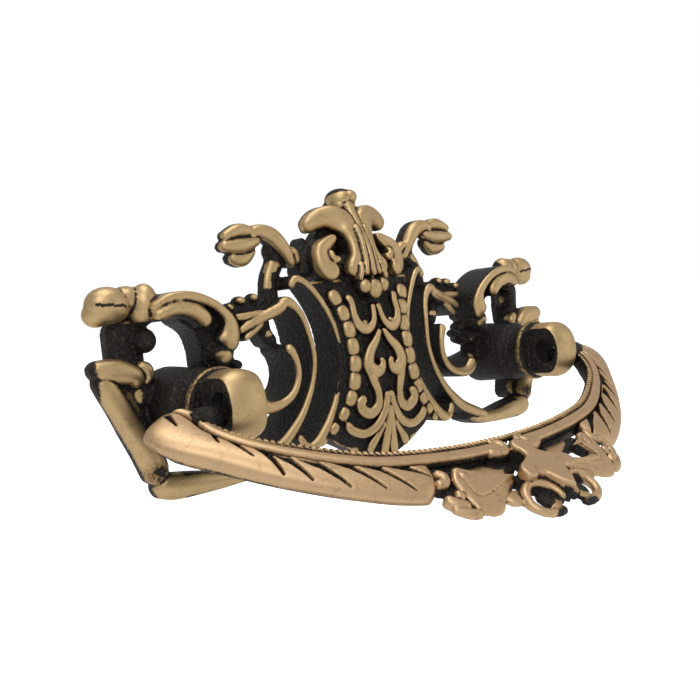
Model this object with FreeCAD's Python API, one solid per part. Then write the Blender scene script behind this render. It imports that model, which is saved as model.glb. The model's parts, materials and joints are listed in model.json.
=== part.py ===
import FreeCAD, Part
import math
import os

# Bail pull: a pierced scroll backplate, two turned posts and a leaf-section bail.
# Millimetres. X runs across the pull, Z is up, the back of the plate lies on Y = 0
# and the front faces -Y. The origin is midway between the two screw holes.

# Posts
post_spacing = 76.2
neck_radius = 4.7
neck_length = 4.4
neck_flare = 1.4
collar_radius = 5.9
collar_depth = 1.2
head_radius = 5.45
head_depth = 25.3
head_length = 9.7
dome_height = 4.2
flat_half_width = 4.1
flat_break = 0.2
bore_radius = 2.4
bore_from_tip = 5.6
screw_hole_radius = 2.1
screw_hole_depth = 11.0
spigot_radius = 3.6
lip_step = 0.2
collar_front = head_depth - head_length
collar_back = collar_front - collar_depth
boss_front = collar_back - neck_length
bore_depth = head_depth - bore_from_tip

# Plate
boss_radius = 6.2
boss_lip_radius = 5.6
seat_clearance = 0.05
panel_sphere_radius = 60.0
panel_front = 10.4
panel_centre_height = -1.0
panel_relief = 1.5
panel_back = 5.0
crest_bevel = 0.8
crest_share = 0.45
thin_rib = 1.9
least_width = 0.6
station_length = 3.2
least_stations = 3
end_steps = 3
lobe_rings = 4
lobe_sides = 6
drawn_post_x = 38.1
drawn_panel_x = 13.0

# Bail
pin_radius = 1.25
pin_clearance = 0.08
pin_end_gap = 3.4
cheek_radius = 2.4
cheek_depth = 2.4
bail_lift = 62.0
arm_gap = 0.8
arm_straight = 12.0
arm_band_share = 0.5
bail_reach = 21.5
bail_thickness = 3.4
band_half = 1.3
band_rise = 0.8
rope_height = 0.9
under_rope = 0.4
face_break = 0.6
break_drop = 0.25
rim_drop = 0.75
under_width = 0.85
bail_stations = 11
tip_share = 0.86
tip_taper = 0.6
drawn_arm_x = 43.0
groove_width = 1.3
groove_depth = 0.9
groove_rise = 1.5
groove_share = 0.34
groove_end_share = 0.86
groove_lean = 0.035
groove_shares = [0.46, 0.53, 0.60, 0.67, 0.74, 0.81, 0.87]
pivot_drop = bore_radius - pin_radius - pin_clearance

# Inner and outer edges of the bail as (distance from the middle, reach from the pivot)
inner_line = [(0.0, 21.5), (10.5, 20.9), (20.6, 19.2), (27.6, 17.0), (34.6, 13.0), (40.8, 8.1), (44.2, 3.6),
              (45.0, 0.0), (45.7, -1.8), (46.8, -2.8)]
outer_line = [(0.0, 28.6), (12.4, 27.8), (23.6, 25.0), (32.0, 21.0), (40.0, 15.4), (46.6, 9.0), (50.6, 4.0),
              (52.0, 0.4), (51.2, -1.4), (49.2, -2.6)]

# Strokes of the bail's ornament: points are (distance from the middle, minus reach, width)
ornament_back = -bail_thickness
star_stem = {"front": 1.7, "back": ornament_back, "path": [(0.0, -22.8, 3.2), (0.0, -27.6, 5.4), (0.0, -33.8, 1.8)]}
star_side = {"front": 1.6, "back": ornament_back, "path": [(0.0, -26.6, 4.4), (2.8, -27.6, 4.2), (5.4, -29.2, 1.8)]}
star_top = {"front": 1.5, "back": ornament_back, "path": [(0.6, -26.0, 3.4), (3.8, -26.2, 2.2)]}
tongue = {"front": 0.6, "back": ornament_back,
          "path": [(15.6, -23.6, 2.4), (16.0, -28.0, 2.8), (13.8, -30.8, 3.4), (11.4, -31.4, 3.0)]}
tongue_band = {"front": 0.3, "back": ornament_back, "path": [(14.0, -30.8, 3.0), (10.6, -29.6, 2.8), (5.8, -27.0, 1.6)]}
loop_high = {"front": 0.5, "back": ornament_back,
             "path": [(1.0, -33.8, 1.8), (2.6, -30.8, 1.8), (5.4, -30.2, 1.8), (6.6, -32.6, 1.8)]}
loop_low = {"front": -0.6, "back": ornament_back,
            "path": [(6.6, -32.6, 1.8), (5.0, -35.0, 1.8), (1.6, -35.4, 1.6), (0.0, -35.2, 1.4)]}
side_lobe = {"front": 0.4, "back": ornament_back, "path": [(18.8, -22.0, 2.4), (18.0, -25.4, 2.8), (19.0, -28.2, 2.4)]}
side_web = {"front": -1.4, "back": ornament_back, "path": [(19.6, -27.6, 2.6), (16.6, -30.2, 2.6), (13.8, -31.6, 2.2)]}
loop_web = {"front": -1.4, "back": ornament_back, "path": [(2.0, -33.0, 3.6), (5.4, -32.8, 3.6), (10.6, -31.8, 2.6)]}
root_web = {"front": -1.2, "back": ornament_back, "path": [(0.0, -23.8, 3.0), (9.0, -23.4, 3.0), (17.4, -22.4, 2.8)]}
bail_middle_strokes = [star_stem]
bail_side_strokes = [star_side, star_top, tongue, tongue_band, loop_high, loop_low, side_lobe, side_web, loop_web, root_web]
hole_path = [(8.4, -26.2, 2.0), (11.0, -26.8, 2.8), (13.2, -27.4, 2.0)]

# Strokes of the right half of the plate: points are (distance from the middle, height, width)
big_scroll = {"front": 9.0, "back": 0.6,
              "path": [(43.6, 15.0, 3.0), (40.4, 16.2, 3.4), (36.6, 16.3, 3.6), (33.0, 14.7, 3.8), (30.4, 11.6, 3.6),
                       (29.9, 8.6, 3.6), (31.2, 6.6, 4.4)]}
inner_lobe = {"front": 9.3, "back": 0.8,
              "path": [(43.2, 14.2, 1.6), (40.0, 15.2, 2.2), (37.2, 15.0, 2.6), (35.2, 13.6, 2.4), (34.7, 11.8, 2.4)]}
shelf = {"front": 4.8, "back": 0.0, "path": [(46.4, 2.6, 4.0), (42.0, 3.4, 3.4), (36.0, 3.6, 3.2), (30.4, 3.6, 3.2)]}
hole_wall = {"front": 6.0, "back": 0.0, "path": [(38.0, 15.2, 2.6), (33.8, 12.4, 3.2), (32.2, 9.0, 3.4), (32.0, 4.4, 3.6)]}
stem = {"front": 4.0, "back": 0.0, "path": [(46.0, 4.0, 6.4), (46.0, 10.0, 6.6), (46.2, 15.5, 6.4)]}
spur_leaf = {"front": 6.4, "back": 3.6, "path": [(54.0, 7.7, 1.4), (51.0, 7.5, 2.4), (47.6, 6.6, 3.4), (45.4, 5.2, 3.0)]}
curl_leaf = {"front": 5.8, "back": 0.0, "path": [(46.0, 6.8, 1.8), (44.4, 5.8, 2.0), (43.6, 4.2, 1.8)]}
side_edge = {"front": 6.8, "back": 3.6,
             "path": [(52.2, 6.6, 2.2), (50.6, 3.2, 3.4), (49.0, -1.4, 3.8), (47.0, -5.4, 3.8), (44.8, -9.2, 3.0)]}
side_hollow = {"front": 4.4, "back": 0.0, "path": [(47.6, 4.4, 4.0), (46.2, 0.0, 4.8), (44.6, -5.6, 4.0), (43.2, -10.4, 3.4)]}
foot_curl = {"front": 6.8, "back": 3.6, "path": [(46.4, -9.8, 1.8), (44.6, -10.6, 2.6), (42.8, -9.8, 1.8)]}
foot = {"front": 8.0, "back": 3.4,
        "path": [(45.4, -11.8, 2.6), (42.0, -12.2, 4.2), (36.0, -12.4, 3.4), (29.5, -12.4, 2.6), (23.6, -11.0, 1.8)]}
centre_foot = {"front": 8.6, "back": 2.0, "path": [(22.0, -10.6, 2.0), (15.0, -11.4, 2.4), (9.0, -10.6, 2.4)]}
second_wire = {"front": 9.0, "back": 0.0,
               "path": [(29.8, -12.0, 1.9), (25.0, -10.2, 2.2), (20.4, -7.4, 2.0), (16.6, -2.9, 1.6), (14.3, 3.0, 1.4),
                        (14.4, 8.6, 1.4), (15.8, 13.2, 1.5), (18.6, 14.4, 2.0)]}
edge_wire = {"front": 9.4, "back": 0.0,
             "path": [(17.2, 16.8, 1.7), (15.4, 18.4, 1.6), (12.4, 16.2, 1.4), (9.6, 11.6, 1.4), (8.4, 5.6, 1.4),
                      (9.2, -0.8, 1.4), (11.4, -6.0, 1.5), (15.0, -9.9, 1.7), (18.2, -10.0, 1.8), (19.5, -8.2, 1.6)]}
third_scroll = {"front": 9.1, "back": 0.6,
                "path": [(19.3, 7.4, 2.0), (18.0, 4.4, 1.5), (18.2, 0.8, 1.5), (20.6, -1.8, 1.6), (24.0, -2.6, 2.0),
                         (26.2, -1.2, 2.6), (26.2, 0.4, 2.2)]}
scroll_link = {"front": 5.0, "back": 0.0, "path": [(25.0, -1.8, 3.0), (29.0, -1.0, 3.0), (33.0, 0.0, 3.0)]}
leaf_link = {"front": 5.2, "back": 0.0, "path": [(19.2, 7.4, 2.4), (20.6, 10.0, 2.6), (20.8, 12.8, 2.6)]}
leaf_crest = {"front": 6.8, "back": 0.0, "path": [(17.4, 14.3, 1.8), (21.6, 12.7, 2.4), (25.0, 11.2, 2.0), (27.4, 9.9, 1.2)]}
leaf_middle = {"front": 6.0, "back": 0.0, "path": [(21.4, 13.2, 1.8), (24.8, 12.8, 2.0), (27.6, 12.7, 1.2)]}
leaf_low = {"front": 6.0, "back": 0.0, "path": [(22.0, 11.8, 1.6), (24.2, 10.2, 1.8), (26.2, 9.2, 1.2)]}
leaf_back = {"front": 4.6, "back": 1.4, "path": [(19.6, 14.6, 2.8), (24.0, 14.2, 3.4), (29.4, 12.6, 3.2)]}
finial_stem = {"front": 4.4, "back": 1.6,
               "path": [(18.2, 14.2, 3.4), (17.8, 18.6, 3.0), (15.8, 22.2, 3.4), (17.2, 25.0, 3.2)]}
finial_leaf = {"front": 5.4, "back": 2.2,
               "path": [(13.6, 20.6, 1.6), (15.2, 23.6, 2.4), (17.8, 26.2, 2.8), (22.4, 26.2, 1.8)]}
finial_hook = {"front": 5.0, "back": 1.8, "path": [(12.2, 21.2, 1.4), (13.4, 23.0, 1.8), (15.0, 22.8, 1.6)]}
high_petal = {"front": 5.1, "back": 2.6, "path": [(20.2, 26.8, 1.6), (23.8, 27.2, 2.6), (27.4, 26.4, 1.4)]}
middle_petal = {"front": 5.5, "back": 2.4, "path": [(19.6, 25.6, 1.6), (23.6, 25.0, 2.6), (28.2, 24.6, 1.6)]}
low_petal = {"front": 4.6, "back": 1.8, "path": [(20.4, 24.6, 1.6), (23.0, 22.6, 3.0), (26.2, 23.2, 1.8)]}
upper_floor = {"front": 4.0, "back": 1.0, "path": [(13.4, 16.2, 5.0), (11.6, 12.0, 5.0), (11.2, 3.4, 4.6)]}
side_strokes = [big_scroll, inner_lobe, shelf, hole_wall, stem, spur_leaf, curl_leaf, side_edge, side_hollow, foot_curl, foot,
                centre_foot, second_wire, edge_wire, third_scroll, scroll_link, leaf_link, leaf_crest, leaf_middle,
                leaf_low, leaf_back, finial_stem, finial_leaf, finial_hook, high_petal, middle_petal, low_petal,
                upper_floor]

# Wing leaf knob, berries, crown and ball
wing_lobes = [(50.2, 17.0, 2.9), (47.0, 17.8, 2.6), (43.6, 16.4, 2.6)]
wing_lobe_depth = 4.6
berry_places = [(28.8, 6.0), (27.6, 4.6), (29.2, 3.4)]
berry_radius = 1.5
berry_depth = 2.4
crown_knob_height = 32.4
crown_knob_x = 1.3
crown_knob_radius = 2.7
crown_knob_back = 0.4
crown_height = 23.6
volute_x = 6.4
volute_radius = 4.6
volute_back_front = 5.0
ball_height = 15.7
ball_radius = 1.5
crown_flank = {"front": 6.4, "back": 2.8,
               "path": [(10.8, 25.8, 1.6), (9.8, 27.8, 2.8), (7.2, 29.4, 3.6), (4.4, 28.6, 4.0), (3.0, 25.0, 3.2)]}
crown_wall = {"front": 5.6, "back": 0.0, "path": [(8.8, 26.6, 2.0), (10.2, 23.0, 2.4), (10.4, 18.6, 3.0)]}
crown_throat = {"front": 9.4, "back": 2.0, "path": [(3.0, 25.6, 2.8), (3.0, 22.0, 3.0), (4.4, 19.2, 3.4)]}
volute_lip = {"front": 8.4, "back": 2.0, "path": [(11.0, 24.0, 1.8), (10.7, 20.8, 3.0), (8.8, 19.2, 3.6), (6.6, 19.0, 3.2)]}
volute_curl = {"front": 7.8, "back": 2.0,
               "path": [(8.6, 25.6, 1.4), (9.8, 24.0, 2.0), (9.2, 21.9, 1.8), (7.0, 21.6, 1.4)]}
high_flute = {"front": 7.6, "back": 0.0, "path": [(0.6, 31.6, 3.6), (1.0, 27.4, 2.2), (1.0, 23.0, 1.8)]}
low_flute = {"front": 10.4, "back": 2.0, "path": [(0.9, 24.0, 2.4), (0.9, 20.0, 2.6), (0.6, 17.0, 1.8)]}
side_flute = {"front": 10.4, "back": 2.0, "path": [(4.0, 20.6, 1.8), (3.2, 18.4, 2.0), (1.8, 16.4, 1.6)]}
crown_strokes = [crown_flank, crown_wall, crown_throat, volute_lip, volute_curl, high_flute, low_flute, side_flute]
knob_stalk = {"front": 5.2, "back": 0.0,
              "path": [(0.4, crown_knob_height, 3.2), (0.6, (crown_knob_height + crown_height) / 2, 2.8),
                       (0.8, crown_height, 2.4)]}

# Panel beads and filigree: strokes are (distance from the middle, height, width)
bead_count = 8
bead_radius = 1.35
bead_top = 14.3
bead_bottom = -7.6
bead_waist = 6.4
bead_waist_height = 4.4
bead_curve = 0.034
filigree_sink = 1.0
hook_path = [(4.8, 14.4, 1.1), (5.6, 12.0, 1.1), (5.2, 9.6, 1.2), (3.0, 8.9, 1.3), (1.0, 10.4, 1.1), (0.5, 12.6, 1.0)]
heart_path = [(0.3, 8.4, 1.1), (2.6, 6.0, 1.4), (4.4, 3.2, 1.8), (3.6, 0.8, 1.7), (1.4, 1.0, 1.4)]
lower_scroll_path = [(4.2, 2.4, 1.8), (3.4, -1.6, 1.3), (3.0, -5.4, 1.4), (5.2, -6.4, 1.6), (7.0, -4.6, 1.4)]
fleur_path = [(0.5, -3.2, 1.2), (1.8, -6.6, 1.4), (4.6, -9.4, 1.5), (8.4, -8.4, 1.3)]
tip_path = [(0.5, -6.4, 1.2), (1.6, -9.8, 1.4), (3.4, -13.0, 1.4)]
stem_drop_path = [(0.0, -3.0, 1.5), (0.0, -9.0, 1.8), (0.0, -15.0, 2.4)]
filigree_paths = [hook_path, heart_path, lower_scroll_path, fleur_path, tip_path, stem_drop_path]
panel_side_path = [(12.6, 17.6), (9.8, 12.4), (9.0, 6.4), (9.6, 1.6), (11.2, -3.6), (14.0, -8.8), (9.6, -12.4),
                   (3.6, -15.4)]

Y_AXIS = FreeCAD.Vector(0, 1, 0)
X_AXIS = FreeCAD.Vector(1, 0, 0)
Z_AXIS = FreeCAD.Vector(0, 0, 1)
post_x = post_spacing / 2


# The ornament between the panel and a post stretches with the post spacing
def across(x):
    if x <= drawn_panel_x:
        return x
    if x <= drawn_post_x:
        return drawn_panel_x + (x - drawn_panel_x) * (post_x - drawn_panel_x) / (drawn_post_x - drawn_panel_x)
    return x + post_x - drawn_post_x


def point(x, depth, z):
    return FreeCAD.Vector(x, -depth, z)


def spline(points):
    curve = Part.BSplineCurve()
    curve.interpolate(points)
    return curve


def mirrored(shape):
    return shape.mirror(FreeCAD.Vector(0, 0, 0), X_AXIS)


def path_length(path):
    return sum(math.hypot(path[i + 1][0] - path[i][0], path[i + 1][1] - path[i][1]) for i in range(len(path) - 1))


# Closed outline of a stroke: stations along a curve, offset both ways, with round ends.
# The curve carries the stroke's width as its depth, so one spline gives both.
def stroke_outline(path, width_share, depth):
    centre = spline([FreeCAD.Vector(across(x), width, z) for x, z, width in path])
    count = max(least_stations, math.ceil(path_length(path) / station_length))
    left = []
    right = []
    ends = []
    for i in range(count + 1):
        u = centre.FirstParameter + i / count * (centre.LastParameter - centre.FirstParameter)
        spot = centre.value(u)
        half = width_share * max(spot.y, least_width) / 2
        along = centre.tangent(u)[0]
        along.y = 0
        along.normalize()
        middle = FreeCAD.Vector(spot.x, -depth, spot.z)
        left.append(middle + along.cross(Y_AXIS) * half)
        right.append(middle - along.cross(Y_AXIS) * half)
        ends.append(along)
    nose = round_end(left[-1], right[-1], ends[-1])
    tail = round_end(right[0], left[0], -ends[0])
    loop = left + nose + right[::-1] + tail
    return Part.makePolygon(loop + [loop[0]])


def round_end(start, stop, outward):
    middle = (start + stop) / 2
    reach = (stop - start).Length / 2
    points = []
    for i in range(1, end_steps):
        turn = math.pi * i / end_steps
        points.append(middle + (start - middle) * math.cos(turn) + outward * reach * math.sin(turn))
    return points


# A cast rib: a thin one tapers straight to its crest, a wide one has straight walls and a bevel
def rib(stroke):
    path = stroke["path"]
    levels = [stroke_outline(path, 1, stroke["back"])]
    if max(width for x, z, width in path) > thin_rib:
        levels.append(stroke_outline(path, 1, stroke["front"] - crest_bevel))
    levels.append(stroke_outline(path, crest_share, stroke["front"]))
    return Part.makeLoft(levels, True, True)


# A rounded lobe with flat facets, its depth set apart from its radius
def lobe(x, depth, z, radius, half_depth):
    rings = []
    for i in range(1, lobe_rings):
        turn = math.pi * i / lobe_rings
        ring_radius = radius * math.sin(turn)
        ring_depth = depth - half_depth * math.cos(turn)
        corners = [point(x + ring_radius * math.cos(2 * math.pi * k / lobe_sides), ring_depth,
                         z + ring_radius * math.sin(2 * math.pi * k / lobe_sides)) for k in range(lobe_sides)]
        rings.append(Part.makePolygon(corners + [corners[0]]))
    return Part.makeLoft(rings, True, True)


def wing_knob():
    return [lobe(across(x), wing_lobe_depth - radius / 2, z, radius, radius) for x, z, radius in wing_lobes]


def berries():
    return [lobe(across(x), berry_depth, z, berry_radius, berry_radius) for x, z in berry_places]


# Shell crown: backing discs behind the volutes, the crown's strokes and the knob on its stalk
def crown():
    disc = Part.makeCylinder(volute_radius, volute_back_front, point(volute_x, 0, crown_height), -Y_AXIS)
    knob_depth = crown_knob_back + crown_knob_radius
    knob = lobe(crown_knob_x, knob_depth, crown_knob_height, crown_knob_radius, crown_knob_radius)
    ball = lobe(0, panel_front, ball_height, ball_radius, ball_radius)
    return [disc, knob, ball, rib(knob_stalk)] + [rib(stroke) for stroke in crown_strokes]


# Bossed seat for a post, with its clearance hole through the web
def boss():
    return Part.makeCone(boss_radius, boss_lip_radius, boss_front, point(post_x, 0, 0), -Y_AXIS)


def seat_hole():
    return Part.makeCylinder(spigot_radius + seat_clearance, boss_front * 3, point(post_x, boss_front * 2, 0), Y_AXIS)


def relief_sphere(rise):
    radius = panel_sphere_radius + rise
    return Part.makeSphere(radius, point(0, panel_front - panel_sphere_radius, panel_centre_height))


# Domed panel: waisted outline cut from a large sphere
def panel():
    side = spline([point(x, panel_back, z) for x, z in panel_side_path])
    steps = math.ceil(path_length(panel_side_path) / station_length)
    span = side.LastParameter - side.FirstParameter
    corners = [side.value(side.FirstParameter + span * i / steps) for i in range(steps + 1)]
    corners = [point(0, panel_back, panel_side_path[0][1])] + corners + [point(0, panel_back, panel_side_path[-1][1])]
    block = Part.Face(Part.makePolygon(corners + [corners[0]])).extrude(-Y_AXIS * panel_front)
    return [block.common(relief_sphere(0))]


def bead_place(i):
    z = bead_top + (bead_bottom - bead_top) * i / (bead_count - 1)
    x = bead_waist + bead_curve * (z - bead_waist_height) ** 2
    sag = (x * x + (z - panel_centre_height) ** 2) / (2 * panel_sphere_radius)
    return x, panel_front - sag, z


def beads():
    pieces = []
    for i in range(bead_count):
        x, depth, z = bead_place(i)
        pieces.append(lobe(x, depth, z, bead_radius, bead_radius))
    return pieces


def filigree():
    cap = relief_sphere(panel_relief)
    pieces = []
    for path in filigree_paths:
        face = Part.Face(stroke_outline(path, 1, panel_back + filigree_sink))
        pieces.append(face.extrude(-Y_AXIS * panel_front).common(cap))
    return pieces


def backplate():
    half = [rib(stroke) for stroke in side_strokes] + wing_knob() + berries() + crown()
    half += panel() + beads() + filigree() + [boss()]
    right = half[0].multiFuse(half[1:])
    right = right.cut(seat_hole())
    whole = right.fuse(mirrored(right)).removeSplitter()
    reach = 4 * post_spacing
    front_slab = Part.makeBox(2 * reach, reach, 2 * reach, FreeCAD.Vector(-reach, -reach, -reach))
    return whole.common(front_slab)


# Turned post: spigot, flared neck, collar and a head with two flats and a domed end
def post_profile():
    seat = boss_front + seat_clearance
    dome_start = head_depth - dome_height
    rows = [(0, 0), (spigot_radius, 0), (spigot_radius, seat), (boss_lip_radius - lip_step, seat),
            (neck_radius, seat + neck_flare), (neck_radius, collar_back), (collar_radius, collar_back),
            (collar_radius, collar_front), (head_radius, collar_front), (head_radius, dome_start), (0, dome_start)]
    points = [FreeCAD.Vector(radius, -depth, 0) for radius, depth in rows]
    return Part.Face(Part.makePolygon(points + [points[0]]))


# The domed end is the cap of a sphere that meets the head's side
def post_dome():
    radius = (head_radius ** 2 + dome_height ** 2) / (2 * dome_height)
    ball = Part.makeSphere(radius, point(0, head_depth - radius, 0))
    size = 2 * head_radius
    corner = point(-size, head_depth - dome_height + size, -size)
    return ball.common(Part.makeBox(2 * size, size, 2 * size, corner))


def post():
    body = post_profile().revolve(FreeCAD.Vector(0, 0, 0), Y_AXIS, 360).fuse(post_dome())
    size = 2 * head_radius
    for left in (flat_half_width, -flat_half_width - size):
        corner = FreeCAD.Vector(left, -head_depth - size, -size)
        body = body.cut(Part.makeBox(size, head_length + size - flat_break, 2 * size, corner))
    bore = Part.makeCylinder(bore_radius, 4 * size, point(-2 * size, bore_depth, 0), X_AXIS)
    screw = Part.makeCylinder(screw_hole_radius, screw_hole_depth, FreeCAD.Vector(0, 0, 0), -Y_AXIS)
    body = body.cut(bore).cut(screw)
    body.translate(FreeCAD.Vector(post_x, 0, 0))
    return body


# The bail is drawn hanging from a pivot at the origin: reach runs down, the show face looks forward
def bail_across(x):
    return across(x) * (post_x + flat_half_width + arm_gap) / across(drawn_arm_x)


# One section of the bail, share 0 at the middle and 1 at the arm's tip
def bail_section(share, side):
    start, inner_reach = edge_point(inner_line, share)
    stop, outer_reach = edge_point(outer_line, share)
    along = stop - start
    width = along.Length
    along.normalize()
    straight = min(1, max(0, inner_reach) / arm_straight)
    taper = 1 - tip_taper * max(0, share - tip_share) / (1 - tip_share)
    rope = rope_height * straight ** 2
    inner_half = band_half * (arm_band_share + (1 - arm_band_share) * straight)
    thick = bail_thickness * taper
    profile = [(-inner_half, -thick), (-inner_half - rope, -thick * under_rope), (-inner_half / 2, rope / 2),
               (band_half / 2, band_rise * taper), (band_half * 2, 0.0), (width * face_break, -thick * break_drop),
               (width, -thick * rim_drop), (width * under_width, -thick)]
    corners = [start + along * a - Y_AXIS * n for a, n in profile]
    if side < 0:
        corners = [FreeCAD.Vector(-c.x, c.y, c.z) for c in corners]
    return Part.makePolygon(corners + [corners[0]])


# Height of the show face at a share of the way from the inner to the outer edge
def face_height(across_share):
    if across_share < face_break:
        return -bail_thickness * break_drop * across_share / face_break
    further = (across_share - face_break) / (1 - face_break)
    return -bail_thickness * (break_drop + (rim_drop - break_drop) * further)


def edge_point(line, share):
    longer = bail_reach - inner_line[0][1]
    points = [FreeCAD.Vector(bail_across(x), 0, -reach) for x, reach in line]
    curve = spline(points)
    place = curve.value(curve.FirstParameter + share * (curve.LastParameter - curve.FirstParameter))
    reach = -place.z
    return place - Z_AXIS * longer * min(1, max(0, reach) / arm_straight), reach


def bail_band():
    shares = [i / bail_stations for i in range(bail_stations + 1)]
    sections = [bail_section(share, -1) for share in shares[:0:-1]] + [bail_section(share, 1) for share in shares]
    return Part.makeLoft(sections, True, True)


# Pin and bearing cheek on the inner side of an arm
def pivot_pin():
    start = post_x - flat_half_width + pin_end_gap
    stop = bail_across(inner_line[-2][0]) + band_half
    pin = Part.makeCylinder(pin_radius, stop - start, FreeCAD.Vector(start, 0, 0), X_AXIS)
    cheek_start = post_x + flat_half_width + arm_gap
    cheek = Part.makeCylinder(cheek_radius, cheek_depth, FreeCAD.Vector(cheek_start, 0, 0), X_AXIS)
    return [pin, cheek]


# Star leaf, loops and side tongues at the middle of the bail
def bail_ornament():
    right = [rib(stroke) for stroke in bail_side_strokes]
    middle = [rib(stroke) for stroke in bail_middle_strokes]
    return right + [mirrored(piece) for piece in right] + middle


def tongue_hole():
    face = Part.Face(stroke_outline(hole_path, 1, 4 * bail_thickness))
    return face.extrude(Y_AXIS * 8 * bail_thickness)


# A groove between two barbs: a wedge laid on the sloping show face from the band to the rim
def groove(share):
    ends = []
    for place, across_share in ((share, groove_share), (share - groove_lean, groove_end_share)):
        start = edge_point(inner_line, place)[0]
        stop = edge_point(outer_line, place)[0]
        spot = start + (stop - start) * across_share - Y_AXIS * face_height(across_share)
        ends.append(spot)
    along = ends[1] - ends[0]
    side = along.cross(Y_AXIS)
    side.normalize()
    wires = []
    for spot in ends:
        high = spot - Y_AXIS * groove_rise
        half = side * groove_width * (groove_depth + groove_rise) / (2 * groove_depth)
        low = spot + Y_AXIS * groove_depth
        wires.append(Part.makePolygon([high + half, high - half, low, high + half]))
    return Part.makeLoft(wires, True, True)


def bail():
    pieces = bail_ornament()
    for pin in pivot_pin():
        pieces += [pin, mirrored(pin)]
    whole = bail_band()
    for share in groove_shares:
        cutter = groove(share)
        whole = whole.cut(cutter).cut(mirrored(cutter))
    for piece in pieces:
        whole = whole.fuse(piece)
    hole = tongue_hole()
    whole = whole.cut(hole).cut(mirrored(hole)).removeSplitter()
    whole.rotate(FreeCAD.Vector(0, 0, 0), X_AXIS, -bail_lift)
    whole.translate(FreeCAD.Vector(0, -bore_depth, -pivot_drop))
    return whole


def save(name, shape):
    print(name, "valid", shape.isValid(), "solids", len(shape.Solids), "volume", round(shape.Volume, 1))
    shape.exportStep("parts/" + name + ".step")


os.makedirs("parts", exist_ok=True)
right_post = post()
save("backplate", backplate())
save("post_right", right_post)
save("post_left", mirrored(right_post))
save("bail", bail())
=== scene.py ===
import bpy
import json
import math
import numpy as np
from mathutils import Matrix, Vector


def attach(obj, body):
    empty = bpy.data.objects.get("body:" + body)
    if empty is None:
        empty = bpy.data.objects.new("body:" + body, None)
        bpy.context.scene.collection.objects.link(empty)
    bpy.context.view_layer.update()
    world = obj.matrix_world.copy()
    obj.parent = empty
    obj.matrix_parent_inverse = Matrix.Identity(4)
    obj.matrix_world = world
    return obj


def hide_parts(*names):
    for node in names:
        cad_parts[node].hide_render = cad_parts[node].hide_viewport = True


# Antique brass bail pull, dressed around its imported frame. Sizes here are millimetres until a mesh is made.
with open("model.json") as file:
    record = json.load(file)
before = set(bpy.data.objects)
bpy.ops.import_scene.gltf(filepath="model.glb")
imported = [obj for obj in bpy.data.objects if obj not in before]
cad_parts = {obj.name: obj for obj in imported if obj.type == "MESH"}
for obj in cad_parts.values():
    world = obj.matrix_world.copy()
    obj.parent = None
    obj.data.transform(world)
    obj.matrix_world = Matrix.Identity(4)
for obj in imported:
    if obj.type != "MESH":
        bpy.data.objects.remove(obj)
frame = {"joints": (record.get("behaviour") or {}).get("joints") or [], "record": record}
bpy.ops.object.select_all(action="DESELECT")
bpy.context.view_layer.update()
mm = 0.001
screwHoles = next(mount for mount in frame["record"]["mounts"] if mount["name"] == "screw_holes")
postX = screwHoles["dims"]["spacing_x_mm"] / 2
pivotDepth, pivotDrop = (round(-place / mm, 3) for place in frame["joints"][0]["pos_m"][1:])
hangTilt = 28.0   # how far the bail stands below level, in degrees


# A node with its options, and its inputs given as values or as sockets to link
def addNode(tree, kind, inputs=None, **options):
    made = tree.nodes.new(kind)
    for key, value in options.items():
        setattr(made, key, value)
    for key, value in (inputs or {}).items():
        if isinstance(value, bpy.types.NodeSocket):
            tree.links.new(value, made.inputs[key])
        else:
            made.inputs[key].default_value = value
    return made


def reckon(tree, operation, *values):
    return addNode(tree, "ShaderNodeMath", dict(enumerate(values)), operation=operation).outputs[0]


# Camera, floor and light
cameraSet = {"place": (-113.37, -133.62, 12.85), "azimuth": -40.705, "elevation": 2.716, "roll": -6.010,
             "lens": 47.72, "sensor": 36, "nearest": 5.0}
stageSet = {"floorReach": 8000.0, "floorDrop": -45.0, "floorRough": 0.9, "floorGlow": 0.72, "worldStrength": 0.5,
            "backdrop": 1.0}
lampSet = {"keyLamp": {"place": (-350, -450, 450), "size": 350, "power": 1.15},
           "fillLamp": {"place": (450, -400, 150), "size": 400, "power": 0.3},
           "topLamp": {"place": (0, -50, 550), "size": 300, "power": 0.9}}
white = (1.0, 1.0, 1.0, 1)


def addObject(name, data):
    obj = bpy.data.objects.new(name, data)
    bpy.context.collection.objects.link(obj)
    return obj


def makeCamera(settings):
    az, el, roll = (math.radians(settings[k]) for k in ("azimuth", "elevation", "roll"))
    back = Vector((math.sin(az) * math.cos(el), -math.cos(az) * math.cos(el), math.sin(el)))
    level = (-back).cross(Vector((0, 0, 1))).normalized()
    rise = level.cross(-back)
    right = level * math.cos(roll) + rise * math.sin(roll)
    up = rise * math.cos(roll) - level * math.sin(roll)
    data = bpy.data.cameras.new("photoCamera")
    data.lens = settings["lens"]
    data.sensor_width = settings["sensor"]
    data.clip_start = settings["nearest"] * mm
    camera = addObject("photoCamera", data)
    camera.matrix_world = Matrix((right, up, back)).transposed().to_4x4()
    camera.location = Vector(settings["place"]) * mm
    bpy.context.scene.camera = camera


def makeLamp(name, settings):
    place = Vector(settings["place"]) * mm
    data = bpy.data.lights.new(name, "AREA")
    data.size = settings["size"] * mm
    data.energy = settings["power"]
    lamp = addObject(name, data)
    lamp.location = place
    lamp.rotation_euler = (-place).to_track_quat("-Z", "Y").to_euler()


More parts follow.
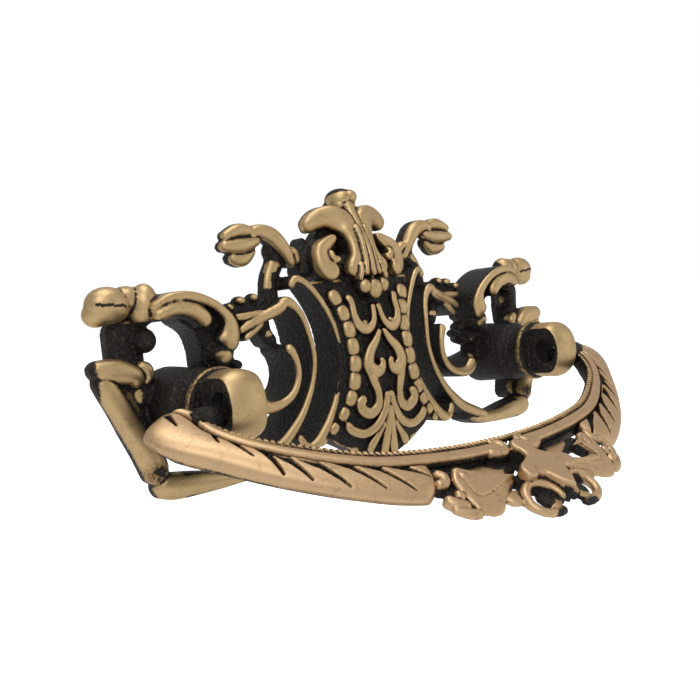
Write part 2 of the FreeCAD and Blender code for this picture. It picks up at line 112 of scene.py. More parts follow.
def makeFloor(settings):
    data = bpy.data.meshes.new("floor")
    reach = settings["floorReach"] * mm
    corners = [(-reach, -reach, 0), (reach, -reach, 0), (reach, reach, 0), (-reach, reach, 0)]
    data.from_pydata(corners, [], [(0, 1, 2, 3)])
    floor = addObject("floor", data)
    floor.location = (0, 0, settings["floorDrop"] * mm)
    paint = bpy.data.materials.new("paleFloor")
    paint.use_nodes = True
    shader = paint.node_tree.nodes["Principled BSDF"]
    shader.inputs["Base Color"].default_value = white
    shader.inputs["Roughness"].default_value = settings["floorRough"]
    shader.inputs["Emission Color"].default_value = (settings["floorGlow"],) * 3 + (1,)
    seen = addNode(paint.node_tree, "ShaderNodeLightPath").outputs["Is Camera Ray"]
    paint.node_tree.links.new(seen, shader.inputs["Emission Strength"])
    data.materials.append(paint)


def makeWorld(settings):
    world = bpy.data.worlds.new("studio")
    bpy.context.scene.world = world
    world.use_nodes = True
    tree = world.node_tree
    tree.nodes.clear()
    seen = addNode(tree, "ShaderNodeLightPath").outputs["Is Camera Ray"]
    light = addNode(tree, "ShaderNodeBackground", {"Color": white, "Strength": settings["worldStrength"]})
    backdrop = addNode(tree, "ShaderNodeBackground", {"Color": white, "Strength": settings["backdrop"]})
    mix = addNode(tree, "ShaderNodeMixShader", {0: seen, 1: light.outputs[0], 2: backdrop.outputs[0]})
    addNode(tree, "ShaderNodeOutputWorld", {0: mix.outputs[0]})


# Mesh building with plain arrays: every part is (points, faces) in millimetres as x, depth, z
def smoothPath(points, step=0.35):
    p = np.array(points, float)
    p = np.vstack([2 * p[0] - p[1], p, 2 * p[-1] - p[-2]])
    rows = []
    for a, b, c, d in zip(p, p[1:], p[2:], p[3:]):
        n = max(2, int(np.ceil(np.linalg.norm((c - b)[:2]) / step)))
        for t in np.arange(n) / n:
            bend = (2 * a - 5 * b + 4 * c - d) * t * t + (3 * b - a - 3 * c + d) * t ** 3
            rows.append(0.5 * (2 * b + (c - a) * t + bend))
    rows.append(p[-2])
    return np.array(rows)


def runAlong(points):
    return np.concatenate([[0], np.cumsum(np.linalg.norm(np.diff(points, axis=0), axis=1))])


# A cast rib along a path of (x, z, width, front): round crest, straight walls down to its back, round ends
ribSet = {"step": 0.35, "ring": 13, "shortEnd": 0.2, "tip": 0.02, "wall": 0.3}


def rib(path, back=0.0, crown=1.0, edge=1.0):
    q = smoothPath(path, ribSet["step"])
    tangent = np.gradient(q[:, :2], axis=0)
    tangent /= np.linalg.norm(tangent, axis=1)[:, None]
    side = np.stack([tangent[:, 1], -tangent[:, 0]], 1)
    run = runAlong(q[:, :2])
    first, last = (max(q[k, 2] / 2, ribSet["shortEnd"]) for k in (0, -1))
    ends = np.minimum(run / first, (run[-1] - run) / last)
    ease = np.sqrt(np.clip(1 - (1 - np.clip(ends, ribSet["tip"], 1)) ** 2, ribSet["tip"], 1))
    half = q[:, 2] / 2 * ease
    turn = np.linspace(0, math.pi, ribSet["ring"])
    rings = []
    for i in range(len(q)):
        across = np.concatenate([[-half[i]], -np.cos(turn) * half[i], [half[i]]])
        depth = q[i, 3] - q[i, 2] / 2 * crown * (1 - ease[i]) - half[i] * crown * (1 - np.sin(turn) ** edge)
        root = min(back, depth.min() - ribSet["wall"])
        depth = np.concatenate([[root], depth, [root]])
        rings.append(np.stack([q[i, 0] + side[i, 0] * across, depth, q[i, 1] + side[i, 1] * across], 1))
    return skin(np.array(rings))


def skin(rings):
    n, m = rings.shape[:2]
    i, j = np.meshgrid(np.arange(n - 1), np.arange(m), indexing="ij")
    k = (j + 1) % m
    quads = np.stack([i * m + j, i * m + k, (i + 1) * m + k, (i + 1) * m + j], -1).reshape(-1, 4)
    faces = [tuple(f) for f in quads] + [tuple(range(m))[::-1], tuple((n - 1) * m + np.arange(m))]
    return rings.reshape(-1, 3), faces


# A rounded lump with radii across, deep and high, turned in the plane of the plate
pebbleSet = {"rows": 12, "columns": 20, "pole": 0.06}


def pebble(x, depth, z, radii, turn=0.0):
    t = np.linspace(pebbleSet["pole"], math.pi - pebbleSet["pole"], pebbleSet["rows"])
    u = np.linspace(0, 2 * math.pi, pebbleSet["columns"], endpoint=False)
    a = np.sin(t)[:, None] * np.cos(u)[None] * radii[0]
    b = np.sin(t)[:, None] * np.sin(u)[None] * radii[2]
    d = -np.cos(t)[:, None] * radii[1] * np.ones_like(u)[None]
    c, s = math.cos(math.radians(turn)), math.sin(math.radians(turn))
    return skin(np.stack([x + a * c - b * s, depth + d, z + a * s + b * c], -1))


def mirrorPart(part):
    points, faces = part
    return points * np.array([-1, 1, 1]), [f[::-1] for f in faces]


def bothSides(parts):
    return parts + [mirrorPart(p) for p in parts]


def joinParts(name, parts, place=None):
    points, faces, base = [], [], 0
    for p, f in parts:
        points.append(p)
        faces += [tuple(int(i) + base for i in face) for face in f]
        base += len(p)
    points = np.vstack(points)
    world = place(points) if place else points * np.array([1, -1, 1])
    data = bpy.data.meshes.new(name)
    data.from_pydata((world * mm).tolist(), [], faces)
    data.update()
    return addObject(name, data)


def triangles(obj):
    return sum(len(polygon.vertices) - 2 for polygon in obj.data.polygons)


def shadeSmooth(obj):
    for polygon in obj.data.polygons:
        polygon.use_smooth = True


# Melt the joined parts into one cast skin, soften it and thin it
def castSkin(obj, settings):
    remesh = obj.modifiers.new("cast", "REMESH")
    remesh.mode = "VOXEL"
    remesh.voxel_size = settings["voxel"] * mm
    remesh.adaptivity = 0
    soft = obj.modifiers.new("soften", "SMOOTH")
    soft.factor = 0.5
    soft.iterations = settings["softening"]
    applyModifiers(obj)
    count = triangles(obj)
    if count > settings["limit"]:
        thin = obj.modifiers.new("thin", "DECIMATE")
        thin.ratio = settings["limit"] / count
        applyModifiers(obj)
    shadeSmooth(obj)
    print(obj.name, "triangles", triangles(obj), "from", count)


def applyModifiers(obj):
    depsgraph = bpy.context.evaluated_depsgraph_get()
    fresh = bpy.data.meshes.new_from_object(obj.evaluated_get(depsgraph))
    old = obj.data
    obj.modifiers.clear()
    obj.data = fresh
    fresh.name = obj.name
    bpy.data.meshes.remove(old)


# Wear: 1 where a buffing wheel reaches, 0 in the recesses. A view gives (across, height, along) in millimetres
wearSet = {"cell": 0.2, "reach": 6, "blur": 3, "slack": 0.45, "soft": 0.55, "faceLow": -0.05, "faceHigh": 0.45,
           "bendSpan": 0.012, "bendRounds": 4, "ridge": 0.3, "crease": 0.9}
zoneKeys = ("slack", "soft", "faceLow", "faceHigh")


def spread(grid, reach, pick):
    for axis in (0, 1):
        grid = pick([np.roll(grid, s, axis) for s in range(-reach, reach + 1)], axis=0)
    return grid


def meanOfNeighbours(values, edges, tally):
    total = np.zeros_like(values)
    for a, b in ((0, 1), (1, 0)):
        np.add.at(total, edges[:, a], values[edges[:, b]])
    return total / (tally[:, None] if values.ndim > 1 else tally)


def paintWear(obj, view, settings, zones=None):
    data = obj.data
    n = len(data.vertices)
    co, no, edges = np.empty(n * 3), np.empty(n * 3), np.empty(len(data.edges) * 2, int)
    data.vertices.foreach_get("co", co)
    data.vertices.foreach_get("normal", no)
    data.edges.foreach_get("vertices", edges)
    co, no, edges = co.reshape(-1, 3) / mm, no.reshape(-1, 3), edges.reshape(-1, 2)
    place, normal = view(co, no)
    spot = np.floor((place[:, [0, 2]] - place[:, [0, 2]].min(0)) / settings["cell"]).astype(int)
    top = np.full(spot.max(0) + 1, -1e3)
    np.maximum.at(top, (spot[:, 0], spot[:, 1]), place[:, 1])
    wide = spread(spread(top, settings["reach"], np.max), settings["blur"], np.mean)
    drop = wide[spot[:, 0], spot[:, 1]] - place[:, 1]
    tally = np.maximum(np.bincount(edges.ravel(), minlength=n), 1).astype(float)
    bend = ((co - meanOfNeighbours(co, edges, tally)) * no).sum(1)
    for _ in range(settings["bendRounds"]):
        bend = 0.5 * bend + 0.5 * meanOfNeighbours(bend, edges, tally)
    ridge = np.clip(bend / settings["bendSpan"], -1, 1)
    tune = {key: np.full(n, float(settings[key])) for key in zoneKeys}
    dark = np.ones(n)
    if zones is not None:
        zones(place, normal, tune, dark)
    high = np.clip(1 - (drop - tune["slack"]) / tune["soft"], 0, 1)
    face = np.clip((normal[:, 1] - tune["faceLow"]) / (tune["faceHigh"] - tune["faceLow"]), 0, 1)
    wear = high * face + settings["ridge"] * np.maximum(ridge, 0) * face - settings["crease"] * np.maximum(-ridge, 0)
    storeWear(obj, np.clip(wear, 0, 1) * dark)


def storeWear(obj, wear):
    attribute = obj.data.attributes.new("wear", "FLOAT", "POINT")
    attribute.data.foreach_set("value", wear.astype(np.float32))


def frontView(co, no):
    return co * np.array([1, -1, 1]), no * np.array([1, -1, 1])


# Zones of the plate by distance from the middle and height: how far its edges are worn, and where it stays dark
plateSet = {"worn": [((41.0, 99.0), (-99.0, 99.0), (1.3, 1.6, -1.2, -0.5)),    # wing
                     ((40.6, 99.0), (13.4, 99.0), (2.6, 1.6, -0.95, -0.4)),    # wing's leaf knob
                     ((12.0, 99.0), (20.0, 99.0), (0.9, 1.1, -0.45, 0.15)),    # bud
                     ((-1.0, 11.6), (17.3, 99.0), (1.7, 1.2, -0.45, 0.1)),     # shell crown
                     ((-1.0, 4.5), (31.2, 99.0), (3.0, 1.5, -0.9, -0.3))],     # crown's knob
            "dark": [((42.0, 50.0), (8.7, 13.7), 99.0),    # stem under the knob
                     ((25.6, 30.6), (2.2, 7.0), 6.5)],     # berries
            "darkWear": 0.12, "bossRadius": 6.9,
            "crack": {"spot": (49.0, 16.6), "rise": 0.12, "half": 0.22, "across": (46.8, 51.6), "depth": 4.5},
            "rub": {"spot": (45.0, -9.4), "radii": (1.3, 1.0), "least": 0.42, "gain": 0.35, "from": 0.7}}


def within(values, span):
    return (values > span[0]) & (values < span[1])


def wearZone(tune, mask, values):
    for key, value in zip(zoneKeys, values):
        tune[key][mask] = value


def plateZones(place, normal, tune, dark):
    x, z = np.abs(place[:, 0]), place[:, 2]
    for across, height, values in plateSet["worn"]:
        wearZone(tune, within(x, across) & within(z, height), values)
    for across, height, depth in plateSet["dark"]:
        dark[within(x, across) & within(z, height) & (place[:, 1] < depth)] = plateSet["darkWear"]
    dark[np.hypot(x - postX, z) < plateSet["bossRadius"]] = plateSet["darkWear"]
    crack, rub = plateSet["crack"], plateSet["rub"]
    line = crack["spot"][1] + crack["rise"] * (x - crack["spot"][0])
    split = (np.abs(z - line) < crack["half"]) & within(x, crack["across"]) & (place[:, 1] > crack["depth"])
    dark[split] = plateSet["darkWear"]
    away = np.hypot((x - rub["spot"][0]) / rub["radii"][0], (z - rub["spot"][1]) / rub["radii"][1])
    dark *= np.clip(rub["least"] + rub["gain"] * (away - rub["from"]), rub["least"], 1.0)


# Brass: a rubbed alloy over a dark stained casting, mixed by the wear painted on each piece
brassSet = {"bright": (0.60, 0.43, 0.22, 1), "warm": (0.27, 0.17, 0.075, 1), "brightSpan": (0.45, 0.95),
            "brightRough": 0.46,
            "dark": (0.010, 0.0075, 0.006, 1), "sand": (0.065, 0.047, 0.030, 1), "sandSpan": (0.54, 0.72),
            "darkRough": 0.55, "darkMetal": 0.35, "wornSpan": (0.34, 0.60),
            "blotch": {"Scale": 420, "Detail": 6, "Roughness": 0.65}, "blotchGain": (0.8, -0.42),
            "grain": {"Scale": 1900, "Detail": 3}, "grainGain": (0.7, -0.35),
            "brightBump": {"Strength": 0.12, "Distance": 0.00012}, "darkBump": {"Strength": 0.8, "Distance": 0.0006}}


def brassMaterial(name, settings):
    material = bpy.data.materials.new(name)
    material.use_nodes = True
    tree = material.node_tree
    tree.nodes.clear()

    def noise(values):
        return addNode(tree, "ShaderNodeTexNoise", dict(values, Vector=spot)).outputs["Fac"]

    def ramp(value, span, **options):
        values = {"Value": value, "From Min": span[0], "From Max": span[1]}
        return addNode(tree, "ShaderNodeMapRange", values, **options).outputs["Result"]

    def blend(share, a, b):
        return addNode(tree, "ShaderNodeMix", {"Factor": share, "A": a, "B": b}, data_type="RGBA").outputs["Result"]

    def shader(color, metallic, roughness, bump):
        normal = addNode(tree, "ShaderNodeBump", dict(bump, Height=grain)).outputs["Normal"]
        values = {"Base Color": color, "Metallic": metallic, "Roughness": roughness, "Normal": normal}
        return addNode(tree, "ShaderNodeBsdfPrincipled", values).outputs[0]

    spot = addNode(tree, "ShaderNodeTexCoord").outputs["Object"]
    wear = addNode(tree, "ShaderNodeAttribute", attribute_name="wear").outputs["Fac"]
    blotch, grain = noise(settings["blotch"]), noise(settings["grain"])
    uneven = reckon(tree, "ADD", reckon(tree, "MULTIPLY_ADD", blotch, *settings["blotchGain"]),
                    reckon(tree, "MULTIPLY_ADD", grain, *settings["grainGain"]))
    worn = reckon(tree, "ADD", wear, uneven)
    tint = blend(ramp(worn, settings["brightSpan"]), settings["warm"], settings["bright"])
    stain = blend(ramp(grain, settings["sandSpan"]), settings["dark"], settings["sand"])
    rubbed = shader(tint, 1.0, settings["brightRough"], settings["brightBump"])
    stained = shader(stain, settings["darkMetal"], settings["darkRough"], settings["darkBump"])
    mask = ramp(worn, settings["wornSpan"], interpolation_type="SMOOTHSTEP")
    mix = addNode(tree, "ShaderNodeMixShader", {0: mask, 1: stained, 2: rubbed})
    addNode(tree, "ShaderNodeOutputMaterial", {"Surface": mix.outputs[0]})
    return material


# Side scrolls, the right half: each crest is a path of (distance from the middle, height, width, front)
scrollSet = {"voxel": 0.22, "softening": 3, "limit": 150000, "bossSides": 72,
             "boss": [(6.2, 0.0), (6.1, 3.0), (5.9, 6.0), (5.7, 8.4), (5.5, 9.6), (5.2, 9.98)]}


def bigScroll():
    return [
        rib([(43.6, 15.6, 1.2, 8.0), (40.6, 17.0, 1.4, 8.9), (36.8, 16.9, 1.5, 9.2), (33.2, 15.4, 1.5, 9.3),
             (30.6, 13.0, 2.0, 9.2), (30.2, 10.8, 3.6, 9.1), (30.9, 8.8, 4.6, 9.1), (31.6, 7.8, 4.2, 9.0)], 0.8,
             edge=0.7),
        rib([(43.4, 14.8, 2.0, 8.0), (40.4, 16.1, 3.2, 8.8), (38.0, 16.0, 3.0, 8.8), (33.4, 14.2, 3.0, 7.0),
             (31.4, 11.6, 2.8, 6.4)], 0.8, crown=0.5),
        rib([(43.4, 14.0, 1.6, 8.4), (40.2, 15.2, 2.4, 9.1), (37.4, 14.9, 2.8, 9.3), (35.2, 13.5, 2.8, 9.3),
             (34.7, 11.8, 2.6, 9.2)], 0.8, edge=0.8),
        rib([(38.0, 14.8, 2.6, 6.4), (34.2, 12.4, 3.2, 6.2), (32.6, 9.0, 3.6, 6.2), (32.4, 4.4, 3.6, 5.4)], 0.0,
            crown=0.6),
        pebble(31.3, 4.9, 7.4, (2.6, 3.4, 2.4)),   # the scroll's eye
    ]


def wing():
    return [
        rib([(46.0, 4.0, 6.0, 3.6), (46.0, 10.0, 6.2, 3.8), (46.2, 15.0, 6.0, 4.2)], 0.4, crown=0.6),
        pebble(43.6, 4.0, 10.8, (1.8, 2.4, 2.0)),   # bead on the stem
        pebble(48.8, 3.7, 16.7, (3.7, 2.8, 2.9), 6),   # leaf knob, four lobes
        pebble(50.6, 3.2, 15.5, (2.2, 2.2, 2.0), -8),
        pebble(45.8, 3.4, 17.2, (2.8, 2.5, 2.3), -10),
        pebble(43.3, 4.4, 16.3, (2.3, 2.6, 3.4), 10),
        rib([(53.6, 7.5, 2.0, 5.8), (51.6, 7.0, 3.4, 6.3), (49.0, 6.6, 3.8, 6.5), (46.6, 5.6, 3.0, 6.5),
             (46.0, 3.8, 2.0, 5.9)], 3.2, edge=0.8),
        rib([(45.6, 7.2, 1.4, 5.4), (44.2, 6.6, 2.0, 5.8), (43.8, 5.2, 1.8, 5.6), (44.4, 3.8, 1.2, 5.0)], 1.0),
        rib([(52.2, 6.6, 3.2, 5.8), (50.9, 3.9, 3.4, 6.2), (49.4, 0.6, 3.3, 6.6), (48.0, -2.6, 3.4, 6.9),
             (46.3, -6.0, 3.7, 7.0), (44.9, -9.2, 4.0, 7.0), (44.2, -11.4, 3.6, 7.0)], 3.4, crown=0.7),
        rib([(49.6, 5.6, 3.4, 4.6), (47.4, 1.6, 4.6, 4.2), (45.8, -2.6, 4.6, 4.2), (44.2, -7.0, 4.0, 4.4),
             (43.0, -10.6, 3.2, 5.0)], 0.0, crown=0.4),
    ]


def footAndWires():
    return [
        rib([(45.4, -11.6, 3.4, 7.0), (42.4, -12.2, 4.2, 7.6), (38.0, -12.5, 3.6, 8.0), (33.0, -12.8, 2.6, 7.9),
             (28.0, -12.4, 2.6, 7.8), (23.6, -11.2, 2.0, 7.6)], 3.2, crown=0.9),
        rib([(30.4, -12.2, 1.6, 7.8), (26.4, -10.8, 2.2, 8.4), (22.8, -9.2, 2.1, 8.9), (20.3, -7.3, 1.9, 9.0),
             (17.9, -4.8, 1.5, 9.0), (15.8, -1.5, 1.2, 9.0), (14.5, 1.8, 1.0, 9.0), (14.0, 4.8, 1.0, 9.0),
             (14.3, 8.0, 1.0, 8.8), (14.9, 11.3, 1.2, 8.4), (15.9, 13.4, 1.4, 8.0), (17.4, 14.6, 2.0, 7.8),
             (19.2, 14.0, 2.0, 7.4)], 0.0),
        rib([(19.0, -8.0, 1.2, 9.0), (18.4, -9.4, 1.4, 9.2), (17.4, -10.4, 1.8, 9.4), (15.6, -9.9, 1.9, 9.7),
             (12.7, -6.7, 1.6, 9.7), (10.4, -2.8, 1.3, 9.6), (9.2, 0.7, 1.1, 9.5), (8.5, 4.4, 1.0, 9.4),
             (8.7, 8.4, 1.0, 9.3), (9.7, 11.7, 1.0, 9.0), (11.4, 15.0, 1.1, 8.6), (13.4, 17.6, 1.2, 8.0),
             (15.2, 18.4, 1.4, 7.5), (16.2, 16.8, 1.5, 7.2)], 2.6),
        rib([(19.4, 7.4, 2.2, 8.8), (18.4, 6.0, 1.6, 9.0), (17.8, 4.0, 1.3, 9.1), (17.9, 1.6, 1.3, 9.1),
             (19.2, -0.8, 1.4, 9.1), (21.5, -2.2, 1.6, 9.1), (24.2, -2.5, 2.2, 9.1), (26.0, -1.6, 2.9, 9.1),
             (26.6, 0.0, 2.2, 9.1)], 0.6),
        rib([(25.0, -1.6, 3.0, 5.0), (29.0, -1.0, 3.0, 5.0), (33.0, 0.0, 3.0, 5.0)], 0.6),
        rib([(19.2, 7.4, 2.4, 5.4), (20.6, 10.0, 2.6, 5.0), (20.8, 12.8, 2.6, 5.0)], 0.4),
    ]


def leafSpray():
    return [
        rib([(17.8, 14.2, 1.8, 7.8), (19.8, 13.3, 2.2, 7.4), (22.4, 12.4, 2.0, 6.8), (25.0, 11.4, 1.6, 6.4),
             (27.0, 10.4, 1.0, 6.0)], 0.6),
        rib([(21.4, 13.2, 1.4, 6.6), (24.6, 12.9, 1.6, 6.2), (27.4, 12.9, 1.0, 5.8)], 0.6),
        rib([(22.0, 11.8, 1.3, 6.4), (24.2, 10.2, 1.4, 6.2), (26.0, 9.0, 0.9, 5.8)], 0.6),
        rib([(19.4, 14.9, 2.2, 4.8), (23.8, 14.4, 3.0, 4.4), (29.2, 12.8, 3.0, 4.2)], 1.0, crown=0.7),
        pebble(22.6, 4.0, 15.9, (0.9, 1.6, 0.8)),   # buds above the spray
        pebble(25.2, 3.8, 15.6, (1.1, 1.6, 0.8)),
        pebble(27.6, 3.8, 14.6, (1.0, 1.6, 0.8)),
    ]


def shelfAndBerries():
    return [
        rib([(46.4, 2.2, 4.0, 4.6), (42.0, 3.2, 3.4, 4.8), (36.0, 3.6, 3.2, 5.0), (30.4, 3.8, 3.0, 5.0)], 0.0,
            crown=0.5),
        pebble(28.6, 3.2, 6.2, (1.2, 2.0, 1.1)),   # berries
        pebble(27.2, 3.4, 5.0, (1.2, 2.0, 1.0)),
        pebble(28.4, 3.2, 3.8, (1.3, 2.0, 1.1)),
        pebble(30.0, 2.6, 5.0, (1.6, 1.8, 1.8)),
    ]


def budFinial():
    return [
        rib([(18.2, 14.2, 3.4, 4.4), (17.8, 18.6, 3.0, 4.2), (15.9, 22.2, 3.4, 4.0), (17.2, 25.0, 3.2, 4.2)], 1.6,
            crown=0.7),
        rib([(13.4, 20.6, 1.4, 5.2), (15.0, 23.6, 2.4, 5.8), (17.3, 26.2, 2.9, 5.8), (20.0, 27.1, 2.4, 5.4),
             (22.2, 26.4, 1.6, 5.2)], 2.2),
        rib([(12.0, 21.2, 1.2, 5.0), (13.0, 23.1, 1.7, 5.4), (14.4, 23.6, 1.4, 5.4)], 2.0),
        rib([(20.4, 26.8, 1.4, 5.0), (23.8, 27.4, 2.3, 5.3), (27.4, 26.3, 1.2, 5.0)], 2.8),
        rib([(19.8, 25.6, 1.4, 5.0), (23.6, 24.8, 2.6, 5.6), (28.0, 24.8, 1.6, 5.2)], 2.6),
        rib([(20.6, 24.4, 1.4, 4.2), (23.2, 22.6, 2.6, 4.8), (26.2, 23.0, 1.6, 4.6)], 1.8),
    ]


# A round part about the axis of a post, from rows of (radius, depth)
def lathe(x, rows, sides):
    turn = np.linspace(0, 2 * math.pi, sides, endpoint=False)
    return skin(np.array([[(x + r * math.cos(t), d, r * math.sin(t)) for t in turn] for r, d in rows]))


def scrollParts():
    boss = lathe(postX, scrollSet["boss"], scrollSet["bossSides"])
    return bigScroll() + wing() + footAndWires() + leafSpray() + shelfAndBerries() + budFinial() + [boss]


# Panel, beads, filigree and shell crown
panelSet = {"voxel": 0.19, "softening": 2, "limit": 195000, "front": 10.4, "back": 5.0, "bend": 60.0, "centre": -1.0,
            "rows": 90, "columns": 41, "filigreeBack": 6.0, "filigreeEdge": 0.5}
panelEdge = [(17.8, 12.4), (12.4, 9.8), (6.4, 9.0), (1.6, 9.5), (-3.6, 11.2), (-8.6, 13.6), (-11.0, 11.0),
             (-13.4, 6.6), (-15.4, 1.6)]


def panelFront(x, z):
    return panelSet["front"] - (x * x + (z - panelSet["centre"]) ** 2) / (2 * panelSet["bend"])


def panelPart():
    z = np.linspace(panelEdge[0][0], panelEdge[-1][0], panelSet["rows"])
    half = np.interp(-z, [-height for height, _ in panelEdge], [across for _, across in panelEdge])
    share = np.linspace(-1, 1, panelSet["columns"])
    rings = []
    for height, reach in zip(z, half):
        x, level = share * reach, np.full_like(share, height)
        front = np.stack([x, panelFront(x, height), level], 1)
        rear = np.stack([x[::-1], np.full_like(x, panelSet["back"]), level], 1)
        rings.append(np.vstack([front, rear]))
    return skin(np.array(rings))


def onPanel(points, lift):
    return [(x, z, w, panelFront(x, z) + lift) for x, z, w in points]


# Filigree on the panel: paths of (x, z, width) with each one's height over the panel
def filigreeParts():
    lines = [
        ([(5.7, 14.9, 1.7), (5.2, 13.2, 1.3), (5.2, 10.9, 1.4), (4.4, 9.0, 1.9), (2.8, 8.4, 1.9), (1.2, 9.8, 1.2),
          (0.55, 13.0, 1.0)], 1.6),
        ([(3.2, 9.2, 1.8), (3.5, 10.2, 2.2)], 1.6),
        ([(0.35, 8.2, 0.8), (1.7, 6.2, 1.5), (3.3, 4.4, 2.0), (4.0, 2.3, 2.5), (3.1, 0.9, 2.9), (1.6, 0.9, 2.0),
          (0.95, 2.2, 1.2), (1.5, 3.0, 0.9)], 1.7),
        ([(4.1, 2.0, 2.1), (3.3, -0.8, 1.8), (2.6, -3.2, 1.5), (2.9, -5.4, 1.8), (4.5, -6.5, 2.1), (6.3, -5.6, 2.1),
          (6.5, -4.1, 1.8), (5.3, -3.6, 1.5)], 1.6),
        ([(0.3, -3.0, 1.4), (1.2, -6.2, 1.5), (3.2, -8.9, 1.7), (6.0, -9.9, 1.7), (8.6, -8.9, 1.7), (9.7, -7.4, 1.4)],
         1.5),
        ([(0.2, -5.4, 1.2), (0.5, -9.6, 1.5), (1.1, -13.2, 1.9), (1.5, -15.2, 1.4)], 1.4),
        ([(1.0, -8.2, 0.9), (2.6, -10.5, 1.2), (4.1, -12.4, 1.8), (4.7, -13.8, 1.1)], 1.2),
    ]
    return [rib(onPanel(points, lift), panelSet["filigreeBack"], edge=panelSet["filigreeEdge"]) for points,
            lift in lines]


def crownParts():
    return [
        rib([(9.4, 26.8, 2.4, 4.6), (8.1, 28.2, 3.2, 5.2), (6.0, 29.1, 3.8, 6.0), (4.0, 29.0, 4.4, 6.9),
             (2.3, 27.8, 4.4, 7.8),
             (1.5, 25.6, 3.6, 8.6), (1.5, 23.2, 3.0, 9.3), (2.0, 21.2, 3.0, 9.8), (3.2, 19.6, 3.2, 10.1),
             (4.7, 18.9, 2.4, 9.9)], 2.6, crown=0.7, edge=0.8),
        rib([(4.9, 25.5, 1.1, 7.3), (6.6, 24.5, 2.1, 7.5), (8.6, 23.0, 2.9, 7.9), (8.8, 20.9, 3.4, 8.5),
             (7.8, 19.3, 3.6, 9.2),
             (6.5, 18.9, 2.6, 9.6)], 2.0, crown=0.7, edge=0.7),
        rib([(6.9, 23.0, 1.0, 8.2), (7.1, 21.9, 1.1, 8.6), (6.4, 21.2, 1.3, 8.9), (5.6, 21.7, 1.3, 8.8)], 3.0),
        rib([(9.4, 25.8, 1.8, 3.6), (10.4, 22.0, 2.6, 4.6), (10.2, 18.4, 4.0, 5.4)], 0.6, crown=0.8),
        rib([(6.6, 19.6, 4.0, 6.6), (3.4, 20.0, 4.4, 7.4), (1.0, 21.0, 4.0, 7.6)], 0.6, crown=0.3),
        rib([(6.4, 22.8, 5.0, 4.0), (4.0, 25.6, 4.6, 4.2), (1.0, 28.6, 4.0, 4.6)], 0.6, crown=0.3),
        rib([(1.0, 27.4, 0.9, 8.6), (0.9, 24.0, 1.0, 9.8), (1.1, 20.6, 1.0, 10.6), (1.6, 18.0, 0.9, 11.0)], 4.0),
        rib([(2.2, 20.6, 0.8, 10.4), (2.7, 18.6, 1.0, 10.9), (3.3, 17.2, 0.8, 10.8)], 4.0),
        rib([(2.4, 31.6, 1.8, 5.4), (0.8, 31.2, 2.4, 6.0)], 0.8),
        pebble(2.2, 9.6, 16.1, (1.5, 1.7, 1.5), 20),   # ball beside the middle one
    ]


def middleParts():
    return [
        pebble(0.0, 3.3, 32.5, (2.8, 2.9, 2.1)),   # knob on the crown
        pebble(0.9, 4.7, 32.8, (1.6, 1.8, 1.4)),
        rib([(0.0, 32.4, 2.6, 6.2), (0.0, 30.4, 2.2, 6.8), (0.0, 28.0, 1.6, 8.0), (0.0, 23.0, 1.1, 10.3),
             (0.0, 17.8, 1.0, 11.3)], 0.6),
        rib([(0.0, 32.6, 3.0, 5.0), (0.0, 28.6, 3.8, 6.4), (0.0, 23.0, 3.6, 8.6), (0.0, 17.8, 3.2, 10.2)], 0.6,
            crown=0.4),
        pebble(0.0, 9.9, 15.5, (1.9, 1.6, 2.0)),   # ball under the crown
        panelPart(),
    ]


# A geometry nodes tree with its named inputs, begun and ended the same way for beads and rope
def beginTree(name, sockets):
    tree = bpy.data.node_groups.new(name, "GeometryNodeTree")
    for socket, kind in {"Geometry": "Geometry", **sockets, "Material": "Material"}.items():
        tree.interface.new_socket(socket, in_out="INPUT", socket_type="NodeSocket" + kind)
    tree.interface.new_socket("Geometry", in_out="OUTPUT", socket_type="NodeSocketGeometry")
    return tree, tree.nodes.new("NodeGroupInput").outputs


def endTree(tree, geometry, material):
    real = addNode(tree, "GeometryNodeRealizeInstances", {"Geometry": geometry})
    paint = addNode(tree, "GeometryNodeSetMaterial", {"Geometry": real.outputs["Geometry"], "Material": material})
    addNode(tree, "NodeGroupOutput", {"Geometry": paint.outputs["Geometry"]})
    return tree


# Beads along the panel's edge: rounded blocks placed on a curve, small at its foot
beadSet = {"count": 10, "across": 1.6, "deep": 1.7, "along": 1.95, "crease": 0.2, "taper": 0.58, "grow": 0.45}
beadLine = [(14.0, -9.9), (12.6, -8.8), (10.8, -7.0), (9.0, -4.6), (7.8, -2.2), (7.0, 0.7), (6.6, 3.9), (6.7, 7.3),
            (7.0, 10.7), (8.1, 14.3)]


def rowTree():
    sockets = {"Count": "Int", "Crease": "Float", "Taper": "Float", "Grow": "Float", "Size": "Vector"}
    tree, given = beginTree("rowAlongCurve", sockets)
    spots = addNode(tree, "GeometryNodeResampleCurve", {"Curve": given["Geometry"], "Count": given["Count"]})
    block = addNode(tree, "GeometryNodeMeshCube").outputs["Mesh"]
    shape = addNode(tree, "GeometryNodeSubdivisionSurface", {"Mesh": block, "Level": 4,
                                                             "Edge Crease": given["Crease"]})
    bead = addNode(tree, "GeometryNodeTransform", {"Geometry": shape.outputs["Mesh"], "Scale": given["Size"]})
    tangent = addNode(tree, "GeometryNodeInputTangent").outputs["Tangent"]
    aim = addNode(tree, "FunctionNodeAlignRotationToVector", {"Vector": tangent})
    along = addNode(tree, "GeometryNodeSplineParameter").outputs["Factor"]
    size = addNode(tree, "ShaderNodeMapRange", {"Value": along, "From Max": given["Grow"], "To Min": given["Taper"]})
    row = addNode(tree, "GeometryNodeInstanceOnPoints",
                  {"Points": spots.outputs["Curve"], "Instance": bead.outputs["Geometry"],
                   "Rotation": aim.outputs["Rotation"], "Scale": size.outputs["Result"]})
    return endTree(tree, row.outputs["Instances"], given["Material"])


